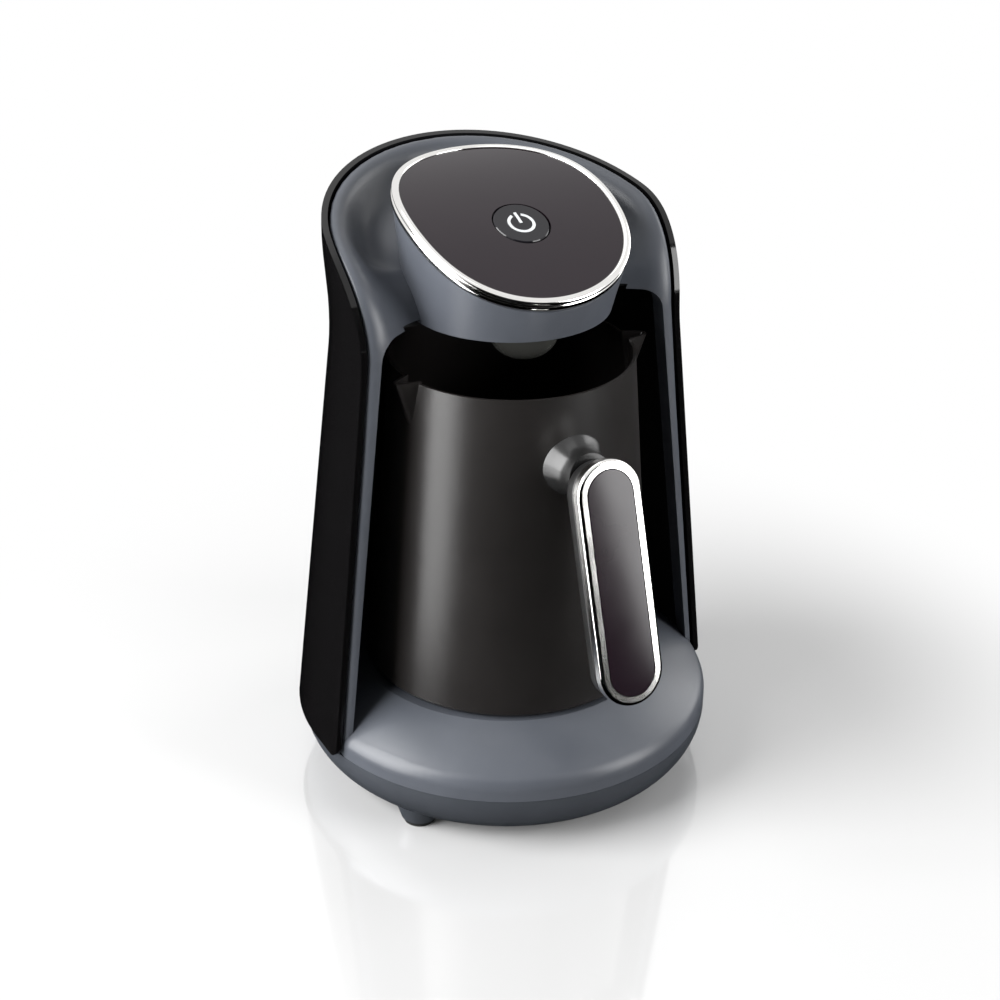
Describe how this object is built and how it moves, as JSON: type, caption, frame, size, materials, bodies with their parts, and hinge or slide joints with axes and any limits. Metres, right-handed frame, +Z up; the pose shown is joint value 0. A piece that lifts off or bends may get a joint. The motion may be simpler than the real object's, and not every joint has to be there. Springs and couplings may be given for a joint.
{
  "type": "electric Turkish coffee maker",
  "caption": "Compact electric coffee pot set: heated round base, wrap-around shell with an overhanging touch-button head, and a pull-out spouted pot with a hanging handle.",
  "frame": {"origin": "on the table under the middle of the object's own box, in the plane of symmetry", "axes": "+Z up, +X to the right of a user who faces the pot's handle, +Y from the handle to the back of the shell"},
  "size_m": [0.1598, 0.1756, 0.2276],
  "materials": {
    "tub_grey": "satin moulded, mid grey",
    "foot_rubber": "matt rubber",
    "slate_satin": "satin slate grey",
    "screw_steel": "zinc plated",
    "inlet_rubber": "matt black",
    "plate_steel": "brushed",
    "seal_silicone": "soft silicone",
    "element_sheath": "oxidised",
    "clamp_steel": "bare",
    "sensor_cap": "polished",
    "spring_steel": "bright wire",
    "heat_plastic": "heat-resistant plastic",
    "cutout_body": "dark thermoset",
    "board_green": "lacquered board",
    "relay_case": "moulded case",
    "core_steel": "varnished laminations",
    "capacitor_box": "moulded box",
    "terminal_body": "moulded",
    "shell_gloss": "piano black gloss",
    "liner_black": "fine matt black",
    "bright_chrome": "bright chrome",
    "panel_gloss": "gloss plum black",
    "button_gloss": "gloss black",
    "symbol_white": "milky white",
    "switch_black": "moulded",
    "carrier_black": "moulded",
    "chip_black": "moulded",
    "buzzer_black": "moulded",
    "lamp_clear": "clear lamp",
    "screw_black": "blackened",
    "nose_smoke": "smoky translucent",
    "loom_black": "sleeved wires",
    "pot_coating": "fine-textured black coating",
    "disc_steel": "brushed",
    "boss_black": "satin black"
  },
  "bodies": {
    "machine": {"base_tub": "tub_grey", "foot_pads": "foot_rubber", "base_cover": "slate_satin", "base_screws": "screw_steel", "cord_inlet": "inlet_rubber", "hot_plate": "plate_steel", "plate_seal": "seal_silicone", "heating_element": "element_sheath", "element_clamp": "clamp_steel", "clamp_screws": "screw_steel", "plunger_spring": "spring_steel", "plunger_housing": "heat_plastic", "thermal_cutout": "cutout_body", "power_board": "board_green", "board_screws": "screw_steel", "power_relay": "relay_case", "mains_transformer": "core_steel", "filter_capacitor": "capacitor_box", "terminal_block": "terminal_body", "outer_shell": "shell_gloss", "shell_screws": "screw_steel", "hood_frame": "slate_satin", "bay_liner": "liner_black", "chrome_ring": "bright_chrome", "top_panel": "panel_gloss", "button_carrier": "carrier_black", "control_board": "board_green", "control_screws": "screw_steel", "push_switch": "switch_black", "control_chip": "chip_black", "buzzer": "buzzer_black", "status_lamps": "lamp_clear", "head_cover": "liner_black", "head_screws": "screw_black", "sensor_nose": "nose_smoke", "foam_sensor": "chip_black", "wire_loom": "loom_black"},
    "button": {"power_button": "button_gloss", "power_symbol": "symbol_white", "switch_plunger": "switch_black"},
    "pot": {"pot_body": "pot_coating", "pot_base_disc": "disc_steel", "pot_stud": "screw_steel", "handle_boss": "boss_black", "handle_shell": "boss_black", "handle_frame": "bright_chrome", "handle_insert": "panel_gloss", "handle_screw": "screw_steel"},
    "plunger": {"sensor_plunger": "sensor_cap"}
  },
  "joints": [
    {"name": "button_press", "type": "slide", "parent": "machine", "child": "button", "axis": [0, 0.3782, -0.9257], "range_m": [0, 0.0008], "stiffness_N_per_m": 700, "springref_m": -0.001},
    {"name": "pot_draw", "type": "slide", "parent": "machine", "child": "pot", "axis": [0, -1, 0], "range_m": [0, 0.15]},
    {"name": "plunger_press", "type": "slide", "parent": "machine", "child": "plunger", "axis": [0, 0, -1], "range_m": [0, 0.0015], "stiffness_N_per_m": 300, "springref_m": -0.002, "deforming": ["plunger_spring"]}
  ]
}
